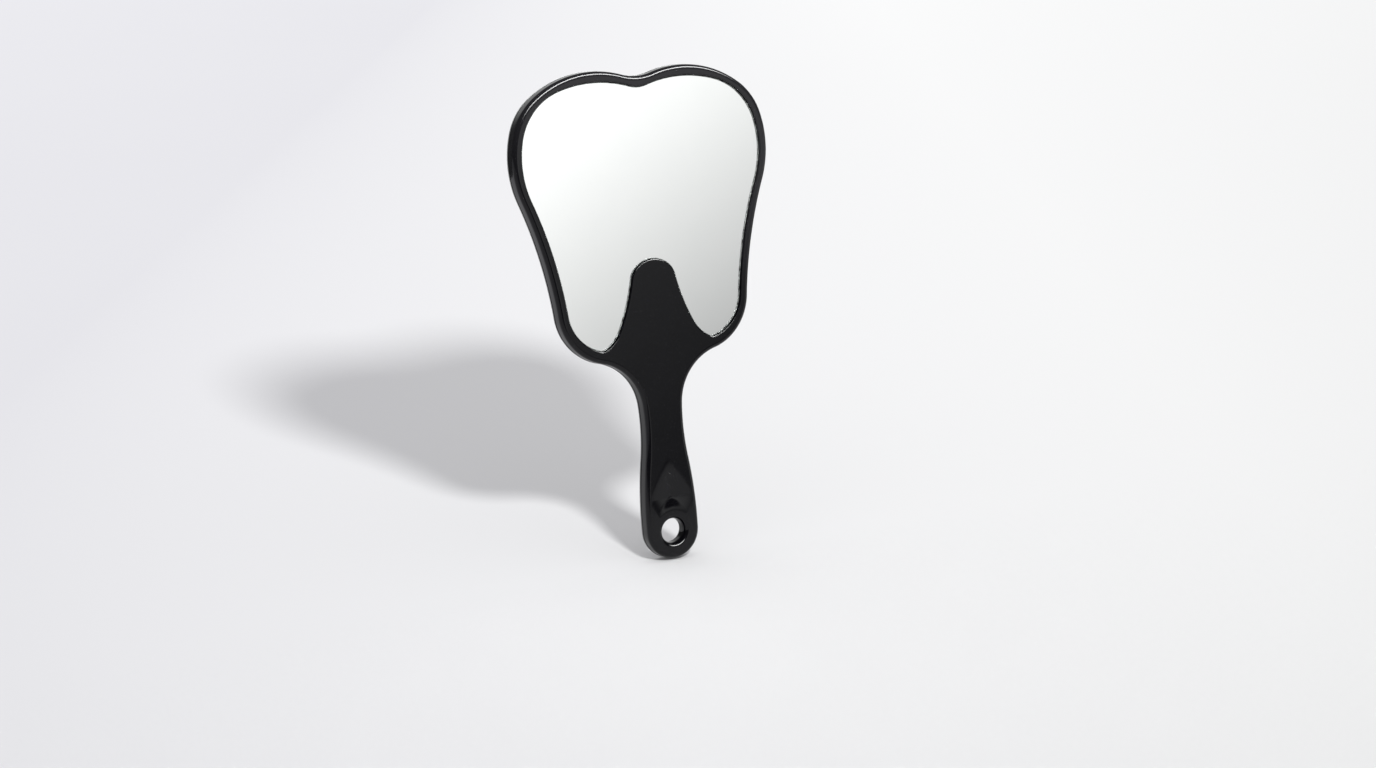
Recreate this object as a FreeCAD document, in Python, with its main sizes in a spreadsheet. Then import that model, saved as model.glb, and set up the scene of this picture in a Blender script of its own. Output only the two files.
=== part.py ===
"""Tooth-shaped hand mirror: two black plastic shells, a glass mirror let into the front, and its tape.

The mirror stands on the end of its handle: Z runs up the handle, the glass faces -Y and X runs
across. The outline of the shells and the pocket for the glass are chains of tangent arcs. Each
chain is drawn for the right half (X >= 0) and the half solid is mirrored.
"""
import FreeCAD, Part
import math
import os

import Sketcher
from FreeCAD import Vector

# Every driving dimension: alias, value (millimetres and degrees), meaning.
DIMENSIONS = [
    # outline of both shells, clockwise from the notch between the lobes to the end of the handle
    ("notch_radius", 28.5, "dip between the two lobes"),
    ("notch_turn", 17.5, "angle turned by the dip"),
    ("lobe_top_radius", 56.6, "top of a lobe"),
    ("lobe_top_turn", 54.2, "angle turned by the top of a lobe"),
    ("lobe_corner_radius", 32.9, "corner of a lobe"),
    ("lobe_corner_turn", 36.3, "angle turned by the corner of a lobe"),
    ("cheek_radius", 55.3, "widest part of the head"),
    ("cheek_turn", 38.1, "angle turned by the widest part"),
    ("waist_radius", 233.0, "hollow side above the root"),
    ("waist_turn", 15.4, "angle turned by the hollow side"),
    ("root_radius", 29.8, "rounded root"),
    ("root_turn", 69.7, "angle turned by the root"),
    ("shoulder_radius", 29.0, "hollow between root and handle"),
    ("shoulder_turn", 70.9, "angle turned by the shoulder"),
    ("neck_radius", 128.0, "hollow side of the neck"),
    ("neck_turn", 13.2, "angle turned by the neck"),
    ("flare_turn", 10.0, "angle turned by the bulging side of the grip"),
    ("nose_radius", 15.3, "round end of the handle"),
    # pocket for the glass, clockwise from the notch to the tip of the tongue
    ("pocket_top", 250.0, "height of the pocket at the notch"),
    ("pocket_notch_radius", 15.4, "pocket edge at the notch"),
    ("pocket_notch_turn", 18.0, "angle turned at the notch"),
    ("pocket_lobe_radius", 66.3, "pocket edge at the top of a lobe"),
    ("pocket_lobe_turn", 36.0, "angle turned at the top of a lobe"),
    ("pocket_corner_radius", 32.5, "pocket edge at the corner of a lobe"),
    ("pocket_corner_turn", 57.7, "angle turned at the corner of a lobe"),
    ("pocket_cheek_radius", 52.2, "pocket edge at the widest part"),
    ("pocket_cheek_turn", 35.8, "angle turned at the widest part"),
    ("pocket_waist_radius", 225.6, "pocket edge above the root"),
    ("pocket_waist_turn", 15.7, "angle turned above the root"),
    ("pocket_root_radius", 23.9, "pocket edge in the root"),
    ("pocket_root_turn", 67.4, "angle turned in the root"),
    ("pocket_tip_radius", 4.5, "lowest corner of the pocket"),
    ("pocket_tip_turn", 44.0, "angle turned at the lowest corner"),
    ("tongue_foot_radius", 20.3, "foot of the tongue"),
    ("tongue_foot_turn", 36.2, "angle turned at the foot of the tongue"),
    ("tongue_side_radius", 105.7, "hollow side of the tongue"),
    ("tongue_side_turn", 15.1, "angle turned by the side of the tongue"),
    ("tongue_corner_radius", 10.3, "rounded corner of the tongue"),
    ("tongue_corner_turn", 37.6, "angle turned at the corner of the tongue"),
    # depths
    ("thickness", 9.0, "front face to back face"),
    ("cover_depth", 2.2, "thickness of the back cover"),
    ("front_rounding", 1.6, "rounding of the front edge"),
    ("back_rounding", 1.3, "rounding of the back edge"),
    ("seam_chamfer", 0.2, "bevel on both shells where they meet"),
    ("recess", 1.0, "glass below the rim"),
    ("glass_thickness", 2.0, "mirror glass"),
    ("silver_thickness", 0.1, "silver and its backing paint"),
    ("tape_thickness", 0.8, "double-sided foam tape"),
    ("floor_thickness", 1.5, "floor of the glass pocket"),
    # fits around the glass
    ("glass_gap", 0.3, "play between glass and pocket"),
    ("glass_bevel", 0.35, "ground bevel along the edge of the glass"),
    ("silver_margin", 0.6, "silver kept back from the edge of the glass"),
    # hanging hole, its flat ring and the thumb scoop
    ("hole_height", 15.0, "centre of the hanging hole"),
    ("hole_radius", 6.4, "hanging hole"),
    ("hole_front_rounding", 2.4, "rounded front mouth of the hole"),
    ("hole_back_rounding", 2.0, "rounded back mouth of the hole"),
    ("ring_radius", 11.5, "flat ring left standing around the hole"),
    ("scoop_height", 39.0, "centre of the thumb scoop"),
    ("scoop_depth", 1.4, "deepest point of the scoop"),
    ("scoop_half_length", 24.0, "scoop, half its length at the face"),
    ("scoop_half_width", 12.0, "scoop, half its width at the face"),
    ("scoop_bulge", 8.0, "radius in depth of the ellipsoid that cuts the scoop"),
    # inside of the shells
    ("recess_wall", 1.2, "head recess kept inside the pocket's outline"),
    ("core_bottom", 31.0, "lower end of the hollow in the handle"),
    ("core_top", 151.0, "upper end of the hollow, inside the tongue"),
    ("core_neck_height", 74.0, "height of the neck in the hollow"),
    ("core_bottom_half", 11.0, "half width of the hollow at its lower end"),
    ("core_neck_half", 8.6, "half width of the hollow from the neck up"),
    ("rib_width", 1.2, "stiffening rib"),
    ("rib_spacing", 24.0, "distance between ribs"),
    ("rib_bottom", 168.0, "lower end of the ribs"),
    ("rib_top", 243.0, "upper end of the ribs"),
    ("rib_clearance", 0.2, "ribs kept below the seam"),
    ("lip_clearance", 0.15, "play between locating lip and recess"),
    ("lip_width", 1.2, "locating lip of the cover"),
    ("lip_height", 1.0, "height of the locating lip"),
    ("pin_radius", 1.1, "locating pin of the cover"),
    ("pin_length", 2.8, "length of a locating pin"),
    ("pin_play", 0.05, "radial play of a pin in its socket"),
    ("socket_depth", 3.1, "depth of a pin's socket"),
    ("post_radius", 3.0, "post around a socket inside the handle"),
    ("lobe_pin_x", 39.6, "pin in the rim of a lobe, across"),
    ("lobe_pin_z", 255.0, "pin in the rim of a lobe, height"),
    ("cheek_pin_x", 71.0, "pin in the rim at the widest part, across"),
    ("cheek_pin_z", 211.0, "pin in the rim at the widest part, height"),
    ("waist_pin_x", 58.3, "pin in the rim at the waist, across"),
    ("waist_pin_z", 166.0, "pin in the rim at the waist, height"),
    ("root_pin_x", 49.3, "pin in the rim of the root, across"),
    ("root_pin_z", 124.2, "pin in the rim of the root, height"),
    ("grip_pin_z", 60.0, "pin on the centre line of the grip"),
    ("neck_pin_z", 104.0, "pin on the centre line of the neck"),
    # pads of tape behind the glass: centre across, centre height, width, height
    ("crown_tape_x", 0.0, "pad on the centre line, across"),
    ("crown_tape_z", 200.0, "pad on the centre line, height of its centre"),
    ("crown_tape_wide", 30.0, "pad on the centre line, width"),
    ("crown_tape_tall", 24.0, "pad on the centre line, height"),
    ("lobe_tape_x", 38.0, "pad behind a lobe, across"),
    ("lobe_tape_z", 226.0, "pad behind a lobe, height of its centre"),
    ("lobe_tape_wide", 36.0, "pad behind a lobe, width"),
    ("lobe_tape_tall", 22.0, "pad behind a lobe, height"),
    ("waist_tape_x", 40.0, "pad behind the waist, across"),
    ("waist_tape_z", 180.0, "pad behind the waist, height of its centre"),
    ("waist_tape_wide", 18.0, "pad behind the waist, width"),
    ("waist_tape_tall", 40.0, "pad behind the waist, height"),
    ("root_tape_x", 35.0, "pad behind a root, across"),
    ("root_tape_z", 134.0, "pad behind a root, height of its centre"),
    ("root_tape_wide", 14.0, "pad behind a root, width"),
    ("root_tape_tall", 20.0, "pad behind a root, height"),
]

LEFT, RIGHT = 1, -1        # which way the outline turns along an arc
OUTLINE = [
    ("notch", LEFT), ("lobe_top", RIGHT), ("lobe_corner", RIGHT), ("cheek", RIGHT), ("waist", LEFT),
    ("root", RIGHT), ("shoulder", LEFT), ("neck", LEFT), ("flare", RIGHT), ("nose", RIGHT),
]
POCKET = [
    ("pocket_notch", LEFT), ("pocket_lobe", RIGHT), ("pocket_corner", RIGHT), ("pocket_cheek", RIGHT),
    ("pocket_waist", LEFT), ("pocket_root", RIGHT), ("pocket_tip", RIGHT), ("tongue_foot", RIGHT),
    ("tongue_side", RIGHT), ("tongue_corner", LEFT), ("tongue_tip", LEFT),
]
RIM_PINS = ["lobe", "cheek", "waist", "root"]
CENTRE_PINS = ["grip", "neck"]
TAPE_PADS = [("crown", [1]), ("lobe", [1, -1]), ("waist", [1, -1]), ("root", [1, -1])]
VERTICAL_AXIS = -2         # the sketcher's own number for a sketch's vertical axis
SMALL = 1e-6

doc = FreeCAD.newDocument("hand_mirror")
size = {alias: value for alias, value, meaning in DIMENSIONS}


def make_sheet():
    """The spreadsheet that drives every sub-part."""
    sheet = doc.addObject("Spreadsheet::Sheet", "dims")
    for row, (alias, value, meaning) in enumerate(DIMENSIONS, start=1):
        sheet.set(f"A{row}", meaning)
        sheet.set(f"B{row}", str(value))
        sheet.setAlias(f"B{row}", alias)
    doc.recompute()
    return sheet


# ---- arc chains ---------------------------------------------------------------------------------

def headings(chain):
    """Direction of travel, in radians, at each joint of a chain that starts along +X and ends along -X."""
    course = [0.0]
    for name, side in chain[:-1]:
        course.append(course[-1] + side * math.radians(size[name + "_turn"]))
    return course + [-math.pi]


def chain_radii(chain):
    """Signed radius of each arc; the one arc with no radius of its own brings the chain back to X = 0."""
    course = headings(chain)
    radii = [side * size.get(name + "_radius", 0.0) for name, side in chain]
    reach = [math.sin(course[i + 1]) - math.sin(course[i]) for i in range(len(chain))]
    closing = radii.index(0.0)
    radii[closing] = -sum(r * x for r, x in zip(radii, reach)) / reach[closing]
    return radii


def drop(chain):
    """Height lost from the start of a chain to its end."""
    course = headings(chain)
    radii = chain_radii(chain)
    return -sum(r * (math.cos(course[i]) - math.cos(course[i + 1])) for i, r in enumerate(radii))


def draw_chain(sketch, chain, start_z, inset_cells=()):
    """Draw a chain moved inwards by the sum of the inset cells; returns its first and last geometry index."""
    inset = sum(size[cell] for cell in inset_cells)
    course = headings(chain)
    radii = [r + inset for r in chain_radii(chain)]
    point = Vector(0, start_z - inset, 0)
    first = sketch.GeometryCount
    for i, radius in enumerate(radii):
        normal = Vector(-math.sin(course[i]), math.cos(course[i]), 0)
        after = Vector(-math.sin(course[i + 1]), math.cos(course[i + 1]), 0)
        centre = point + normal * radius
        point = centre - after * radius
        angles = sorted([course[i], course[i + 1]])
        quarter = math.pi / 2 if radius < 0 else -math.pi / 2
        circle = Part.Circle(centre, Vector(0, 0, 1), abs(radius))
        sketch.addGeometry(Part.ArcOfCircle(circle, angles[0] + quarter, angles[1] + quarter))
    constrain_chain(sketch, chain, first, course, inset_cells)
    return first, first + len(chain) - 1


def chain_ends(side):
    """The sketcher's numbers for the start and end of an arc in the direction of travel."""
    return (1, 2) if side == LEFT else (2, 1)


def constrain_chain(sketch, chain, first, course, inset_cells):
    """Tie a chain of arcs to the sheet: tangent joints, radii, and the angle each arc turns."""
    for i in range(len(chain) - 1):
        leave = chain_ends(chain[i][1])[1]
        enter = chain_ends(chain[i + 1][1])[0]
        sketch.addConstraint(Sketcher.Constraint("Tangent", first + i, leave, first + i + 1, enter))
    for i, (name, side) in enumerate(chain):
        arc = first + i
        if name + "_radius" in size:
            sign = "+" if side == LEFT else "-"
            text = f"dims.{name}_radius" + "".join(f" {sign} dims.{cell}" for cell in inset_cells)
            bind(sketch, Sketcher.Constraint("Radius", arc, sketch.Geometry[arc].Radius), text)
        if name + "_turn" in size:
            turn = abs(course[i + 1] - course[i])
            bind(sketch, Sketcher.Constraint("Angle", arc, turn), f"dims.{name}_turn * 1 deg")
    start = chain_ends(chain[0][1])[0]
    end = chain_ends(chain[-1][1])[1]
    last = first + len(chain) - 1
    for arc, place in ((first, start), (first, 3), (last, end), (last, 3)):
        sketch.addConstraint(Sketcher.Constraint("PointOnObject", arc, place, VERTICAL_AXIS))


def bind(sketch, constraint, expression):
    """Add a dimension to a sketch and let an expression drive it."""
    index = sketch.addConstraint(constraint)
    sketch.setExpression(f"Constraints[{index}]", expression)


def close_on_axis(sketch, from_arc, from_place, to_arc, to_place):
    """A straight line along the centre line between two arc ends."""
    low = sketch.getPoint(from_arc, from_place)
    high = sketch.getPoint(to_arc, to_place)
    line = sketch.addGeometry(Part.LineSegment(low, high))
    sketch.addConstraint(Sketcher.Constraint("Coincident", line, 1, from_arc, from_place))
    sketch.addConstraint(Sketcher.Constraint("Coincident", line, 2, to_arc, to_place))


def half_outline(sketch, inset_cells=()):
    """Right half of the shells' outline, closed along the centre line and standing on Z = 0."""
    first, last = draw_chain(sketch, OUTLINE, drop(OUTLINE), inset_cells)
    bottom = chain_ends(RIGHT)[1]
    base = sum(size[cell] for cell in inset_cells)
    bind(sketch, Sketcher.Constraint("DistanceY", last, bottom, base),
         " + ".join(f"dims.{cell}" for cell in inset_cells) or "0")
    close_on_axis(sketch, last, bottom, first, chain_ends(LEFT)[0])


def half_pocket(sketch, inset_cells=(), closed=True):
    """Right half of the glass pocket's outline; returns the indexes of its two end arcs."""
    first, last = draw_chain(sketch, POCKET, size["pocket_top"], inset_cells)
    top = chain_ends(LEFT)[0]
    bind(sketch, Sketcher.Constraint("DistanceY", first, top, sketch.getPoint(first, top).y),
         "dims.pocket_top" + "".join(f" - dims.{cell}" for cell in inset_cells))
    if closed:
        close_on_axis(sketch, last, chain_ends(LEFT)[1], first, top)
    return first, last


# ---- features -----------------------------------------------------------------------------------

def new_body(label):
    """An empty PartDesign body; its label names its file."""
    body = doc.addObject("PartDesign::Body", label)
    body.Label = label
    return body


def origin_plane(body, role):
    """One of the body's own origin planes."""
    return next(plane for plane in body.Origin.OriginFeatures if plane.Role == role)


def new_sketch(body, name, depth):
    """A sketch facing the front (-Y), at the depth that an expression of the sheet gives (+Y is back)."""
    sketch = body.newObject("Sketcher::SketchObject", name)
    sketch.AttachmentSupport = [(origin_plane(body, "XZ_Plane"), "")]
    sketch.MapMode = "FlatFace"
    sketch.setExpression("AttachmentOffset.Base.z", f"-({depth})")
    doc.recompute()
    return sketch


def pad(body, sketch, name, length, towards_back=False):
    """Add material towards the front, or towards the back."""
    feature = body.newObject("PartDesign::Pad", name)
    feature.Profile = sketch
    feature.setExpression("Length", length)
    feature.Reversed = towards_back
    doc.recompute()
    return feature


def pocket(body, sketch, name, length, towards_front=False):
    """Remove material towards the back, or towards the front; stops if nothing was removed."""
    before = body.Shape.Volume
    feature = body.newObject("PartDesign::Pocket", name)
    feature.Profile = sketch
    feature.setExpression("Length", length)
    feature.Reversed = towards_front
    doc.recompute()
    if feature.Shape.Volume > before - SMALL:
        raise RuntimeError(f"{name} removed nothing")
    return feature


def dress(body, kind, name, base, edges, cell):
    """A fillet or a chamfer on some edges of a feature."""
    feature = body.newObject("PartDesign::" + kind, name)
    feature.Base = (base, edges)
    feature.setExpression("Radius" if kind == "Fillet" else "Size", f"dims.{cell}")
    doc.recompute()
    return feature


def mirror_whole(body, name):
    """Complete a half solid across the YZ plane."""
    feature = body.newObject("PartDesign::Mirrored", name)
    feature.TransformMode = "Whole shape"
    feature.MirrorPlane = (origin_plane(body, "YZ_Plane"), [""])
    feature.Refine = True
    body.Tip = feature
    doc.recompute()
    return feature


def edges_at_depth(feature, depth, wanted=lambda edge: True):
    """Names of the edges that lie in the plane Y = depth, off the centre line, and are wanted."""
    names = []
    for number, edge in enumerate(feature.Shape.Edges, start=1):
        box = edge.BoundBox
        flat = abs(box.YMin - depth) < SMALL and abs(box.YMax - depth) < SMALL
        if flat and box.XMax > SMALL and wanted(edge):
            names.append(f"Edge{number}")
    return names


def is_hole_edge(edge):
    """True for the circle of the hanging hole."""
    curve = edge.Curve
    return isinstance(curve, Part.Circle) and abs(curve.Radius - size["hole_radius"]) < SMALL


def circle_at(sketch, x_cell, z_cell, radius, radius_text, side=1):
    """A circle whose centre and radius follow the sheet; x_cell None puts it on the centre line."""
    x = side * size[x_cell] if x_cell else 0.0
    z = size[z_cell]
    index = sketch.addGeometry(Part.Circle(Vector(x, z, 0), Vector(0, 0, 1), radius))
    bind(sketch, Sketcher.Constraint("Radius", index, radius), radius_text)
    bind(sketch, Sketcher.Constraint("DistanceY", index, 3, z), f"dims.{z_cell}")
    if x_cell:
        bind(sketch, Sketcher.Constraint("DistanceX", index, 3, x), f"{side} * dims.{x_cell}")
    else:
        sketch.addConstraint(Sketcher.Constraint("PointOnObject", index, 3, VERTICAL_AXIS))


def pin_circles(sketch, extra_cells=()):
    """One circle per locating pin, wider by the extra cells."""
    radius = size["pin_radius"] + sum(size[cell] for cell in extra_cells)
    text = "dims.pin_radius" + "".join(f" + dims.{cell}" for cell in extra_cells)
    for name in RIM_PINS:
        for side in (1, -1):
            circle_at(sketch, name + "_pin_x", name + "_pin_z", radius, text, side)
    for name in CENTRE_PINS:
        circle_at(sketch, None, name + "_pin_z", radius, text)


def polygon(sketch, corners):
    """A closed polygon; each corner is (x, z, expression for x, expression for z)."""
    lines = []
    for i, corner in enumerate(corners):
        following = corners[(i + 1) % len(corners)]
        start = Vector(corner[0], corner[1], 0)
        end = Vector(following[0], following[1], 0)
        lines.append(sketch.addGeometry(Part.LineSegment(start, end)))
    for i, line in enumerate(lines):
        following = lines[(i + 1) % len(lines)]
        sketch.addConstraint(Sketcher.Constraint("Coincident", line, 2, following, 1))
    for line, (x, z, x_text, z_text) in zip(lines, corners):
        bind(sketch, Sketcher.Constraint("DistanceX", line, 1, x), x_text)
        bind(sketch, Sketcher.Constraint("DistanceY", line, 1, z), z_text)


# ---- depths, as expressions and as numbers (Y = 0 is half-way through the mirror) ----------------

FRONT = "-dims.thickness / 2"
SEAM = "dims.thickness / 2 - dims.cover_depth"
POCKET_DEPTH = "(dims.recess + dims.glass_thickness + dims.silver_thickness + dims.tape_thickness)"
SHELL_DEPTH = "(dims.thickness - dims.cover_depth)"
CORE_DEPTH = f"({SHELL_DEPTH} - {POCKET_DEPTH})"

front_y = -size["thickness"] / 2
back_y = size["thickness"] / 2
seam_y = back_y - size["cover_depth"]
glass_front_y = front_y + size["recess"]
glass_back_y = glass_front_y + size["glass_thickness"]


# ---- sub-parts ----------------------------------------------------------------------------------

def make_front_shell():
    """Deep front shell: rim, floor of the glass pocket, tongue, handle face and their hollows."""
    body = new_body("front_shell")
    outline = new_sketch(body, "shell_outline", SEAM)
    half_outline(outline)
    block = pad(body, outline, "shell_block", SHELL_DEPTH)
    rounded = dress(body, "Fillet", "front_edge", block, edges_at_depth(block, front_y), "front_rounding")
    bevelled = edges_at_depth(rounded, seam_y)
    dress(body, "Chamfer", "seam_bevel", rounded, bevelled, "seam_chamfer")

    glass_outline = new_sketch(body, "pocket_outline", FRONT)
    half_pocket(glass_outline)
    pocket(body, glass_outline, "glass_pocket", POCKET_DEPTH)
    recess_outline = new_sketch(body, "head_recess_outline", SEAM)
    half_pocket(recess_outline, ["recess_wall"])
    recess_text = f"{CORE_DEPTH} - dims.floor_thickness"
    pocket(body, recess_outline, "head_recess", recess_text, towards_front=True)
    mirror_whole(body, "both_halves")

    add_handle_core(body)
    add_ribs(body)
    add_scoop_and_hole(body)
    sockets = new_sketch(body, "socket_circles", SEAM)
    pin_circles(sockets, ["pin_play"])
    pocket(body, sockets, "pin_sockets", "dims.socket_depth", towards_front=True)
    return body


def add_handle_core(body):
    """Hollow of the handle and tongue, with a post around each socket on the centre line."""
    sketch = new_sketch(body, "handle_core_outline", SEAM)
    half = [("core_bottom_half", "core_bottom"), ("core_neck_half", "core_neck_height"),
            ("core_neck_half", "core_top")]
    right = [(size[x], size[z], f"dims.{x}", f"dims.{z}") for x, z in half]
    left = [(-size[x], size[z], f"-dims.{x}", f"dims.{z}") for x, z in reversed(half)]
    polygon(sketch, right + left)
    pocket(body, sketch, "handle_core", CORE_DEPTH, towards_front=True)
    posts = new_sketch(body, "post_circles", SEAM)
    for name in CENTRE_PINS:
        circle_at(posts, None, name + "_pin_z", size["post_radius"], "dims.post_radius")
    pad(body, posts, "posts", CORE_DEPTH)


def add_ribs(body):
    """Four upright ribs behind the floor of the glass pocket, a little below the seam."""
    sketch = new_sketch(body, "rib_outline", f"{SEAM} - dims.rib_clearance")
    start = -1.5 * size["rib_spacing"]
    near = start - size["rib_width"] / 2
    far = start + size["rib_width"] / 2
    near_text = "-1.5 * dims.rib_spacing - dims.rib_width / 2"
    far_text = "-1.5 * dims.rib_spacing + dims.rib_width / 2"
    low, high = size["rib_bottom"], size["rib_top"]
    polygon(sketch, [(near, low, near_text, "dims.rib_bottom"), (far, low, far_text, "dims.rib_bottom"),
                     (far, high, far_text, "dims.rib_top"), (near, high, near_text, "dims.rib_top")])
    rib = pad(body, sketch, "rib", f"{CORE_DEPTH} - dims.rib_clearance")
    ribs = body.newObject("PartDesign::LinearPattern", "ribs")
    ribs.Originals = [rib]
    ribs.Direction = (sketch, ["H_Axis"])
    ribs.setExpression("Length", "3 * dims.rib_spacing")
    ribs.Occurrences = 4
    body.Tip = ribs
    doc.recompute()


def add_scoop_and_hole(body):
    """Thumb scoop with the flat ring left standing in it, and the hanging hole with its round mouth."""
    before = body.Shape.Volume
    scoop = body.newObject("PartDesign::SubtractiveEllipsoid", "thumb_scoop")
    rise = "(dims.scoop_bulge - dims.scoop_depth)"
    cut = f"sqrt(1 - pow({rise} / dims.scoop_bulge; 2))"
    scoop.setExpression("Radius1", "dims.scoop_bulge")
    scoop.setExpression("Radius2", f"dims.scoop_half_width / {cut}")
    scoop.setExpression("Radius3", f"dims.scoop_half_length / {cut}")
    scoop.AttachmentSupport = [(origin_plane(body, "XZ_Plane"), "")]
    scoop.MapMode = "FlatFace"
    scoop.setExpression("AttachmentOffset.Base.y", "dims.scoop_height")
    scoop.setExpression("AttachmentOffset.Base.z", f"-({FRONT}) + {rise}")
    body.Tip = scoop
    doc.recompute()
    if scoop.Shape.Volume > before - SMALL:
        raise RuntimeError("the thumb scoop removed nothing")

    ring = new_sketch(body, "ring_circle", f"{FRONT} + dims.scoop_depth")
    circle_at(ring, None, "hole_height", size["ring_radius"], "dims.ring_radius")
    pad(body, ring, "hole_ring", "dims.scoop_depth")
    drill_hole(body, front_y, "hole_front_rounding")


def drill_hole(body, mouth_y, rounding_cell):
    """The hanging hole, right through one shell, with a rounded mouth on the outside."""
    circle = new_sketch(body, "hole_circle", FRONT)
    circle_at(circle, None, "hole_height", size["hole_radius"], "dims.hole_radius")
    hole = pocket(body, circle, "hanging_hole", "dims.thickness")
    mouth = edges_at_depth(hole, mouth_y, is_hole_edge)
    dress(body, "Fillet", "hole_mouth", hole, mouth, rounding_cell)


def make_back_cover():
    """Shallow back cover with a locating lip and pins that enter the front shell."""
    body = new_body("back_cover")
    outline = new_sketch(body, "cover_outline", SEAM)
    half_outline(outline)
    block = pad(body, outline, "cover_block", "dims.cover_depth", towards_back=True)
    rounded = dress(body, "Fillet", "back_edge", block, edges_at_depth(block, back_y), "back_rounding")
    dress(body, "Chamfer", "seam_bevel", rounded, edges_at_depth(rounded, seam_y), "seam_chamfer")

    lip_outline = new_sketch(body, "lip_outline", SEAM)
    outer = ["recess_wall", "lip_clearance"]
    outer_ends = half_pocket(lip_outline, outer, closed=False)
    inner_ends = half_pocket(lip_outline, outer + ["lip_width"], closed=False)
    start, end = chain_ends(LEFT)
    close_on_axis(lip_outline, inner_ends[0], start, outer_ends[0], start)
    close_on_axis(lip_outline, outer_ends[1], end, inner_ends[1], end)
    pad(body, lip_outline, "locating_lip", "dims.lip_height")
    mirror_whole(body, "both_halves")

    pins = new_sketch(body, "pin_circles", SEAM)
    pin_circles(pins)
    pad(body, pins, "locating_pins", "dims.pin_length")
    drill_hole(body, back_y, "hole_back_rounding")
    return body


def make_glass():
    """Float glass cut to the pocket, with a ground bevel along both edges."""
    body = new_body("mirror_glass")
    outline = new_sketch(body, "glass_outline", f"{FRONT} + dims.recess + dims.glass_thickness")
    half_pocket(outline, ["glass_gap"])
    plate = pad(body, outline, "plate", "dims.glass_thickness")
    edges = edges_at_depth(plate, glass_front_y) + edges_at_depth(plate, glass_back_y)
    dress(body, "Chamfer", "ground_bevel", plate, edges, "glass_bevel")
    mirror_whole(body, "both_halves")
    return body


def make_silver():
    """Silver layer and its backing paint on the back of the glass."""
    body = new_body("silver_backing")
    depth = f"{FRONT} + dims.recess + dims.glass_thickness + dims.silver_thickness"
    outline = new_sketch(body, "silver_outline", depth)
    half_pocket(outline, ["glass_gap", "silver_margin"])
    pad(body, outline, "layer", "dims.silver_thickness")
    mirror_whole(body, "both_halves")
    return body


def make_tape():
    """Pads of double-sided foam tape between the silver backing and the floor of the pocket."""
    pads = []
    front = f"{FRONT} + dims.recess + dims.glass_thickness + dims.silver_thickness"
    for name, sides in TAPE_PADS:
        for side in sides:
            box = doc.addObject("Part::Box", f"{name}_tape")
            box.setExpression("Length", f"dims.{name}_tape_wide")
            box.setExpression("Width", "dims.tape_thickness")
            box.setExpression("Height", f"dims.{name}_tape_tall")
            across = f"{side} * dims.{name}_tape_x - dims.{name}_tape_wide / 2"
            box.setExpression("Placement.Base.x", across)
            box.setExpression("Placement.Base.y", front)
            box.setExpression("Placement.Base.z", f"dims.{name}_tape_z - dims.{name}_tape_tall / 2")
            pads.append(box)
    group = doc.addObject("Part::Compound", "mounting_tape")
    group.Label = "mounting_tape"
    group.Links = pads
    doc.recompute()
    return group


def check(parts):
    """Stop if any object failed or any sub-part has no valid shape."""
    for item in doc.Objects:
        if "Invalid" in item.State or "Error" in item.State:
            raise RuntimeError(f"{item.Label} failed: {item.State}")
        if item.isDerivedFrom("Sketcher::SketchObject") and not item.FullyConstrained:
            raise RuntimeError(f"{item.Label} is not fully constrained")
    for part in parts:
        if part.Shape.isNull() or not part.Shape.isValid():
            raise RuntimeError(f"{part.Label} has no valid shape")


def write(parts):
    """One STEP file per sub-part."""
    os.makedirs("parts", exist_ok=True)
    for part in parts:
        part.Shape.exportStep(f"parts/{part.Label}.step")
        box = part.Shape.BoundBox
        print(f"{part.Label}: {part.Shape.Volume:.0f} mm3, {len(part.Shape.Solids)} solid(s), "
              f"X {box.XMin:.2f}..{box.XMax:.2f}, Y {box.YMin:.2f}..{box.YMax:.2f}, "
              f"Z {box.ZMin:.2f}..{box.ZMax:.2f}")


make_sheet()
sub_parts = [make_front_shell(), make_back_cover(), make_glass(), make_silver(), make_tape()]
doc.recompute()
check(sub_parts)
write(sub_parts)
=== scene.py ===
import math

import bmesh
import bpy
import numpy as np
from mathutils import Matrix, Vector
from mathutils.geometry import delaunay_2d_cdt


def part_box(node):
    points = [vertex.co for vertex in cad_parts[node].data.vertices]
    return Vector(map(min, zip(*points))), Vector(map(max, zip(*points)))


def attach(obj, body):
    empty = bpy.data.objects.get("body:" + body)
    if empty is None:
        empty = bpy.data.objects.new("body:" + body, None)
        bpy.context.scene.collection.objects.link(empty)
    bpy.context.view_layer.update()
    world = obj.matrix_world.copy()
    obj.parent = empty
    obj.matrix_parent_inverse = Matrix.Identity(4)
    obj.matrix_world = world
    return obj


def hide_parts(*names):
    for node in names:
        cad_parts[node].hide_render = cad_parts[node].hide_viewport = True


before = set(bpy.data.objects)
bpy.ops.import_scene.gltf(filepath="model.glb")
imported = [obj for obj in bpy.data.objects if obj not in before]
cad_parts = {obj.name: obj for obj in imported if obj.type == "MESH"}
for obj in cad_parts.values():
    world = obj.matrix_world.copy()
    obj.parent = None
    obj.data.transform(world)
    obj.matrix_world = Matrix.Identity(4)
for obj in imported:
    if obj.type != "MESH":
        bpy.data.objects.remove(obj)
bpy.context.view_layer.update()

# A tooth-shaped hand mirror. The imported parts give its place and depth; the outlines of the shells
# and of the glass pocket are the same chains of tangent arcs as in the part, in millimetres.

MM = 0.001

# ---- outlines: name, signed radius (+ hollow, - bulging, None closes the chain), degrees turned ----

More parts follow.
